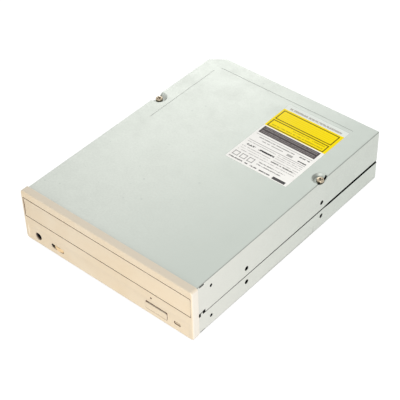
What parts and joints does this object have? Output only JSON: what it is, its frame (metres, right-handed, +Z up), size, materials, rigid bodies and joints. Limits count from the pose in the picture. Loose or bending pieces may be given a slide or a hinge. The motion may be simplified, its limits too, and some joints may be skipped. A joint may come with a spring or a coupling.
{
  "type": "cd-rw drive",
  "caption": "Half-height disc recorder for a computer bay: steel case, beige front with a sliding disc tray, eject button, volume dial and headphone socket.",
  "frame": {"origin": "centre of the footprint, on the plane that the underside rests on", "axes": "+X to the right seen from the front, +Y from the front bezel to the rear connectors, +Z up"},
  "size_m": [0.1484, 0.1976, 0.0423],
  "materials": {
    "galvanised": "galvanised sheet steel, satin",
    "bezel": "fine matt beige moulding",
    "black_plastic": "matt black moulding",
    "grey_plastic": "matt dark grey moulding",
    "white_plastic": "natural white acetal",
    "steel": "turned steel",
    "brass": "yellow passivated screw",
    "rubber": "matt black rubber",
    "board": "green solder mask",
    "chip": "matt black package",
    "lens": "coated moulded lens",
    "lamp_window": "smoked window",
    "ribbon": "flat flex cable",
    "paper": "printed label"
  },
  "bodies": {
    "case": {"top_cover": "galvanised", "bottom_cover": "galvanised", "cover_screw_left": "brass", "cover_screw_right": "brass", "type_label": "paper", "front_bezel": "bezel", "eject_switch": "grey_plastic", "lamp_window": "lamp_window", "status_lamp": "white_plastic", "headphone_jack": "black_plastic", "volume_pot": "grey_plastic", "front_board": "board", "front_ribbon": "ribbon", "main_board": "board", "servo_chip": "chip", "decoder_chip": "chip", "buffer_chip": "chip", "data_connector": "black_plastic", "power_connector": "white_plastic", "audio_connector": "black_plastic", "digital_audio_connector": "black_plastic", "jumper_block": "black_plastic", "loader_frame": "black_plastic", "clamp_bridge": "galvanised", "loading_motor": "steel", "loading_belt": "rubber"},
    "tray": {"disc_tray": "black_plastic", "tray_door": "bezel"},
    "tray_gear": {"tray_drive_gear": "white_plastic"},
    "idler": {"idler_gear": "white_plastic"},
    "drive_pulley": {"pulley_gear": "white_plastic"},
    "small_pulley": {"motor_pulley": "white_plastic"},
    "slider": {"cam_slider": "white_plastic"},
    "traverse": {"lift_frame": "grey_plastic", "traverse_chassis": "galvanised", "spindle_base": "galvanised", "guide_rod_main": "steel", "guide_rod_sub": "steel", "feed_motor": "steel", "damper_front_left": "rubber", "damper_front_right": "rubber", "damper_rear_left": "rubber", "damper_rear_right": "rubber", "damper_screw_front_left": "steel", "damper_screw_front_right": "steel", "damper_screw_rear_left": "steel", "damper_screw_rear_right": "steel"},
    "spindle": {"spindle_rotor": "steel", "turntable": "black_plastic", "turntable_pad": "rubber", "centring_cone": "white_plastic"},
    "screw": {"lead_screw": "steel"},
    "sled": {"pickup_body": "grey_plastic", "lead_screw_follower": "white_plastic"},
    "lens": {"lens_holder": "black_plastic", "objective_lens": "lens"},
    "clamp": {"clamp_puck": "white_plastic", "clamp_yoke": "steel"},
    "button": {"eject_button": "bezel"},
    "dial": {"volume_wheel": "bezel"}
  },
  "joints": [
    {"name": "tray_slide", "type": "slide", "parent": "case", "child": "tray", "axis": [0, -1, 0], "range_m": [0, 0.14]},
    {"name": "tray_gear_turn", "type": "hinge", "parent": "case", "child": "tray_gear", "pos_m": [-0.044, -0.0781, 0.024], "axis": [0, 0, 1], "range_deg": [0, 670]},
    {"name": "idler_turn", "type": "hinge", "parent": "case", "child": "idler", "pos_m": [-0.026, -0.0781, 0.024], "axis": [0, 0, 1], "range_deg": [-1338, 0]},
    {"name": "pulley_turn", "type": "hinge", "parent": "case", "child": "drive_pulley", "pos_m": [-0.006, -0.0781, 0.024], "axis": [0, 0, 1], "range_deg": [0, 3121]},
    {"name": "motor_pulley_turn", "type": "hinge", "parent": "case", "child": "small_pulley", "pos_m": [0.026, -0.0781, 0.024], "axis": [0, 0, 1], "range_deg": [0, 10414]},
    {"name": "cam_slide", "type": "slide", "parent": "case", "child": "slider", "axis": [1, 0, 0], "range_m": [0, 0.018]},
    {"name": "traverse_lift", "type": "hinge", "parent": "case", "child": "traverse", "pos_m": [0, 0.0669, 0.017], "axis": [-1, 0, 0], "range_deg": [0, 4.8]},
    {"name": "spindle_spin", "type": "hinge", "parent": "traverse", "child": "spindle", "pos_m": [0, -0.02146, 0.01761], "axis": [0, -0.0837, 0.9965], "continuous": true},
    {"name": "sled_slide", "type": "slide", "parent": "traverse", "child": "sled", "axis": [0, 0.9965, 0.0837], "range_m": [0, 0.033]},
    {"name": "lead_screw_turn", "type": "hinge", "parent": "traverse", "child": "screw", "pos_m": [-0.0295, 0.02675, 0.01714], "axis": [0, 0.9965, 0.0837], "range_deg": [0, 3962]},
    {"name": "lens_focus", "type": "slide", "parent": "sled", "child": "lens", "axis": [0, -0.0837, 0.9965], "range_m": [-0.0004, 0.0004], "stiffness_N_per_m": 150},
    {"name": "clamp_spin", "type": "hinge", "parent": "case", "child": "clamp", "pos_m": [0, -0.0211, 0.036], "axis": [0, 0, 1], "continuous": true},
    {"name": "eject_press", "type": "slide", "parent": "case", "child": "button", "axis": [0, 1, 0], "range_m": [0, 0.001], "stiffness_N_per_m": 400},
    {"name": "volume_turn", "type": "hinge", "parent": "case", "child": "dial", "pos_m": [-0.04375, -0.0906, 0.0075], "axis": [0, 0, 1], "range_deg": [-140, 140]}
  ],
  "couplings": [
    {"joint": "tray_gear_turn", "follows": "tray_slide", "rad_per_m": 83.333},
    {"joint": "idler_turn", "follows": "tray_slide", "rad_per_m": -166.67},
    {"joint": "pulley_turn", "follows": "tray_slide", "rad_per_m": 388.89},
    {"joint": "motor_pulley_turn", "follows": "tray_slide", "rad_per_m": 1298.1},
    {"joint": "traverse_lift", "follows": "cam_slide", "rad_per_m": 4.6542},
    {"joint": "lead_screw_turn", "follows": "sled_slide", "rad_per_m": 2094.4}
  ]
}
